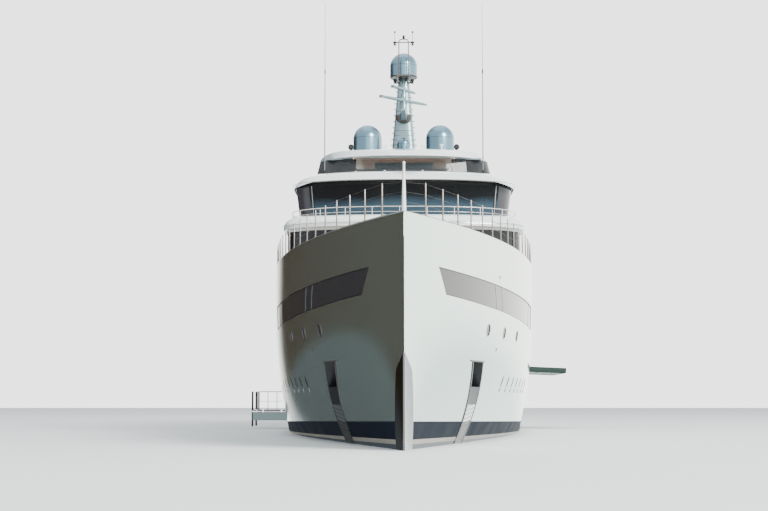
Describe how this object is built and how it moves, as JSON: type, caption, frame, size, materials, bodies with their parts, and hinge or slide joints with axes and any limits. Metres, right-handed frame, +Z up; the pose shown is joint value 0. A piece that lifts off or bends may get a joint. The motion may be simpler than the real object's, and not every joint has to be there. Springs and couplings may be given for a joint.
{
  "type": "motor yacht, 1:10 scale model",
  "caption": "Large displacement motor yacht with a sharp flared bow, three tiers of dark windows, mast with radomes and radars, open side doors, propellers and rudders.",
  "frame": {"origin": "on the centreline at the waterline, halfway along the hull", "axes": "-Y towards the bow, +X to port, +Z up; the waterline is the plane z = 0"},
  "size_m": [1.8804, 8.2, 2.6523],
  "materials": {
    "hull_paint": "glossy metallic pale grey green yacht paint",
    "house_paint": "glossy pale paint",
    "teak": "laid teak with dark caulking",
    "tinted_glass": "dark tinted, polished",
    "stainless": "polished stainless steel",
    "dome_paint": "smooth satin radome paint",
    "bronze": "machined bronze",
    "antifouling": "matt dark underwater paint",
    "dark_trim": "dark upholstery and equipment"
  },
  "bodies": {
    "yacht": {"hull": "hull_paint", "bulwark_port": "hull_paint", "bulwark_starboard": "hull_paint", "stem_plate": "stainless", "bow_railing": "stainless", "anchor_port": "stainless", "anchor_starboard": "stainless", "windlass_port": "stainless", "windlass_starboard": "stainless", "main_deckhouse": "house_paint", "main_deckhouse_glass": "tinted_glass", "upper_deck": "teak", "upper_deckhouse": "house_paint", "upper_deckhouse_glass": "tinted_glass", "bridge_deck": "house_paint", "wheelhouse": "house_paint", "wheelhouse_glass": "tinted_glass", "sky_lounge": "house_paint", "sky_lounge_glass": "tinted_glass", "helm_console": "dark_trim", "helm_chair_port": "dark_trim", "helm_chair_starboard": "dark_trim", "sun_deck": "house_paint", "windscreen": "tinted_glass", "lift_house": "house_paint", "hardtop": "house_paint", "mast": "house_paint", "mast_dome": "dome_paint", "satcom_dome_port": "dome_paint", "satcom_dome_starboard": "dome_paint", "whip_antenna_port": "dome_paint", "whip_antenna_starboard": "dome_paint", "wheelhouse_railing": "stainless", "upper_deck_railing": "stainless", "bridge_deck_railing": "stainless", "sun_deck_railing": "stainless", "transom_railing": "stainless", "bow_thruster_pod": "antifouling"},
    "radar_lower": {"radar_lower": "dome_paint"},
    "radar_upper": {"radar_upper": "dome_paint"},
    "propeller_port": {"propeller_port": "bronze"},
    "propeller_starboard": {"propeller_starboard": "bronze"},
    "bow_thruster_propeller": {"bow_thruster_propeller": "bronze"},
    "rudder_port": {"rudder_port": "antifouling"},
    "rudder_starboard": {"rudder_starboard": "antifouling"},
    "stabiliser_fin_port": {"stabiliser_fin_port": "antifouling"},
    "stabiliser_fin_starboard": {"stabiliser_fin_starboard": "antifouling"},
    "tender_door": {"tender_door": "hull_paint"},
    "boarding_platform": {"boarding_platform": "hull_paint"},
    "transom_door": {"transom_door": "hull_paint"},
    "foredeck_hatch": {"foredeck_hatch": "hull_paint"},
    "wheelhouse_door_port": {"wheelhouse_door_port": "house_paint"},
    "wheelhouse_door_starboard": {"wheelhouse_door_starboard": "house_paint"},
    "boarding_rail_outer": {"boarding_rail_outer": "stainless"},
    "boarding_rail_side": {"boarding_rail_side": "stainless"},
    "saloon_door_port": {"saloon_door_port": "tinted_glass"},
    "saloon_door_starboard": {"saloon_door_starboard": "tinted_glass"}
  },
  "joints": [
    {"name": "radar_lower_turn", "type": "hinge", "parent": "yacht", "child": "radar_lower", "pos_m": [0, -0.726, 1.816], "axis": [0, 0, 1], "continuous": true},
    {"name": "radar_upper_turn", "type": "hinge", "parent": "yacht", "child": "radar_upper", "pos_m": [0, -0.66, 1.89], "axis": [0, 0, 1], "continuous": true},
    {"name": "propeller_port_turn", "type": "hinge", "parent": "yacht", "child": "propeller_port", "pos_m": [0.28, 3.19, -0.265], "axis": [0, 1, 0], "continuous": true},
    {"name": "propeller_starboard_turn", "type": "hinge", "parent": "yacht", "child": "propeller_starboard", "pos_m": [-0.28, 3.19, -0.265], "axis": [0, 1, 0], "continuous": true},
    {"name": "bow_thruster_propeller_turn", "type": "hinge", "parent": "yacht", "child": "bow_thruster_propeller", "pos_m": [0.038, -3.4, -0.23], "axis": [1, 0, 0], "continuous": true},
    {"name": "rudder_port_turn", "type": "hinge", "parent": "yacht", "child": "rudder_port", "pos_m": [0.28, 3.37, -0.2], "axis": [0, 0, 1], "range_deg": [-35, 35]},
    {"name": "rudder_starboard_turn", "type": "hinge", "parent": "yacht", "child": "rudder_starboard", "pos_m": [-0.28, 3.37, -0.2], "axis": [0, 0, 1], "range_deg": [-35, 35]},
    {"name": "stabiliser_fin_port_turn", "type": "hinge", "parent": "yacht", "child": "stabiliser_fin_port", "pos_m": [0.57037, -0.2, -0.27], "axis": [0.7281, 0, -0.6855], "range_deg": [-22, 22]},
    {"name": "stabiliser_fin_starboard_turn", "type": "hinge", "parent": "yacht", "child": "stabiliser_fin_starboard", "pos_m": [-0.57037, -0.2, -0.27], "axis": [-0.7281, 0, -0.6855], "range_deg": [-22, 22]},
    {"name": "tender_door_turn", "type": "hinge", "parent": "yacht", "child": "tender_door", "pos_m": [0.6435, 0.45, 0.373], "axis": [0, 1, 0], "range_deg": [0, 87.5]},
    {"name": "boarding_platform_turn", "type": "hinge", "parent": "yacht", "child": "boarding_platform", "pos_m": [-0.6435, 0.28, 0.048], "axis": [0, 1, 0], "range_deg": [0, 90]},
    {"name": "transom_door_turn", "type": "hinge", "parent": "yacht", "child": "transom_door", "pos_m": [0, 3.6, 0.383], "axis": [1, 0, 0], "range_deg": [0, 85]},
    {"name": "foredeck_hatch_turn", "type": "hinge", "parent": "yacht", "child": "foredeck_hatch", "pos_m": [0, -2.608, 0.7063], "axis": [1, 0, 0], "range_deg": [0, 85]},
    {"name": "wheelhouse_door_port_turn", "type": "hinge", "parent": "yacht", "child": "wheelhouse_door_port", "pos_m": [0.5197, -1, 1.1], "axis": [0, 0, 1], "range_deg": [-95, 0]},
    {"name": "wheelhouse_door_starboard_turn", "type": "hinge", "parent": "yacht", "child": "wheelhouse_door_starboard", "pos_m": [-0.5197, -1, 1.1], "axis": [0, 0, 1], "range_deg": [0, 95]},
    {"name": "boarding_rail_outer_turn", "type": "hinge", "parent": "boarding_platform", "child": "boarding_rail_outer", "pos_m": [-0.8935, 0.28, 0.108], "axis": [0, 1, 0], "range_deg": [0, 90]},
    {"name": "boarding_rail_side_turn", "type": "hinge", "parent": "boarding_platform", "child": "boarding_rail_side", "pos_m": [-0.79, 0.142, 0.108], "axis": [-1, 0, 0], "range_deg": [0, 90]},
    {"name": "saloon_door_port_slide", "type": "slide", "parent": "yacht", "child": "saloon_door_port", "axis": [1, 0, 0], "range_m": [0, 0.145]},
    {"name": "saloon_door_starboard_slide", "type": "slide", "parent": "yacht", "child": "saloon_door_starboard", "axis": [-1, 0, 0], "range_m": [0, 0.145]}
  ],
  "couplings": [
    {"joint": "boarding_rail_outer_turn", "follows": "boarding_platform_turn", "ratio": 1},
    {"joint": "boarding_rail_side_turn", "follows": "boarding_platform_turn", "ratio": 1}
  ]
}
